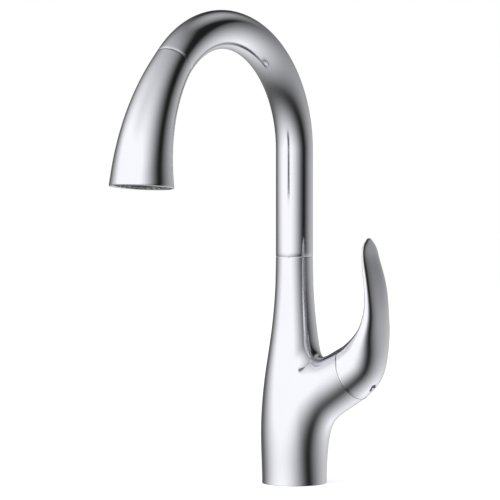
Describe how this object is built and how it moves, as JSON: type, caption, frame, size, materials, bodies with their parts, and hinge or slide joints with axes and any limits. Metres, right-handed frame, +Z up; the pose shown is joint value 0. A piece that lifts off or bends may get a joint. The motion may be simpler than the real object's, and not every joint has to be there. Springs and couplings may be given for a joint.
{
  "type": "pull-down kitchen faucet",
  "caption": "Single-lever pull-down kitchen faucet: a vase-shaped body with a side lever arm, a swivelling gooseneck spout and a flared spray head on a hose.",
  "frame": {"origin": "centre of the base on the worktop, midway between the two fixing studs", "axes": "+Z up; the spout reaches towards -Y at rest; the lever arm points towards +X"},
  "size_m": [0.1195, 0.2637, 0.4008],
  "materials": {
    "chrome": "polished chrome plating",
    "brass": "machined",
    "copper": "drawn copper tube",
    "steel": "stainless",
    "white_plastic": "moulded acetal",
    "grey_plastic": "moulded",
    "index_plastic": "plain cap",
    "ceramic": "lapped",
    "rubber": "moulded",
    "nozzle_rubber": "soft silicone",
    "hose_braid": "woven nylon"
  },
  "bodies": {
    "body": {"faucet_body": "chrome", "base_plate": "brass", "base_gasket": "rubber", "hose_guide": "white_plastic", "hot_supply_tube": "copper", "cold_supply_tube": "copper", "mixed_water_tube": "copper", "swivel_stop_screw": "steel", "cartridge_housing": "white_plastic", "cartridge_base": "grey_plastic", "cartridge_seals": "rubber", "ceramic_disc_fixed": "ceramic", "cartridge_nut": "brass", "dome_ring": "chrome"},
    "mixer_rotor": {"cartridge_rotor": "white_plastic", "stem_pivot_pin": "steel"},
    "mixer_disc": {"ceramic_disc_moving": "ceramic", "disc_carrier": "white_plastic"},
    "lever": {"lever_handle": "chrome", "lever_stem": "steel", "lever_set_screw": "steel", "index_plug": "index_plastic"},
    "spout": {"spout_tube": "chrome", "spout_coupling": "brass", "slip_ring": "white_plastic", "swivel_bush_lower": "white_plastic", "swivel_bush_upper": "white_plastic", "friction_o_ring": "rubber", "docking_collar": "grey_plastic", "spray_hose": "hose_braid", "hose_tail_fitting": "brass"},
    "hose_end": {"hose_crimp": "brass"},
    "spray_head": {"spray_head_shell": "chrome", "docking_spigot": "grey_plastic", "spigot_o_ring": "rubber", "hose_swivel_nut": "brass", "filter_washer": "rubber", "wand_waterway": "grey_plastic", "check_valve": "white_plastic", "diverter_housing": "grey_plastic", "selector_pin": "steel", "spray_face": "grey_plastic", "nozzle_pad": "nozzle_rubber", "spray_chamber": "grey_plastic", "aerator": "grey_plastic"},
    "selector": {"selector_rocker": "chrome"},
    "diverter": {"diverter_spool": "grey_plastic"}
  },
  "joints": [
    {"name": "spout_swivel", "type": "hinge", "parent": "body", "child": "spout", "pos_m": [0, 0, 0.1957], "axis": [0, 0, 1], "range_deg": [-75, 75]},
    {"name": "temperature_turn", "type": "hinge", "parent": "body", "child": "mixer_rotor", "pos_m": [0.04991, 0, 0.09291], "axis": [0.9239, 0, 0.3827], "range_deg": [-45, 45]},
    {"name": "lever_lift", "type": "hinge", "parent": "mixer_rotor", "child": "lever", "pos_m": [0.04991, 0, 0.09291], "axis": [0, 1, 0], "range_deg": [0, 25]},
    {"name": "disc_slide", "type": "slide", "parent": "mixer_rotor", "child": "mixer_disc", "axis": [-0.3827, 0, 0.9239], "range_m": [0, 0.0045]},
    {"name": "spray_pull_out", "type": "slide", "parent": "spout", "child": "hose_end", "axis": [0, -0.6756, -0.7373], "range_m": [0, 0.35]},
    {"name": "spray_spin", "type": "hinge", "parent": "hose_end", "child": "spray_head", "pos_m": [0, -0.16817, 0.3534], "axis": [0, -0.6756, -0.7373], "continuous": true},
    {"name": "selector_rock", "type": "hinge", "parent": "spray_head", "child": "selector", "pos_m": [0, -0.19006, 0.27806], "axis": [1, 0, 0], "range_deg": [-5.6, 5.6]},
    {"name": "diverter_slide", "type": "slide", "parent": "spray_head", "child": "diverter", "axis": [0, 0.0698, 0.9976], "range_m": [-0.00125, 0.00125]}
  ],
  "couplings": [
    {"joint": "disc_slide", "follows": "lever_lift", "m_per_rad": 0.01},
    {"joint": "selector_rock", "follows": "diverter_slide", "rad_per_m": -76.923}
  ]
}
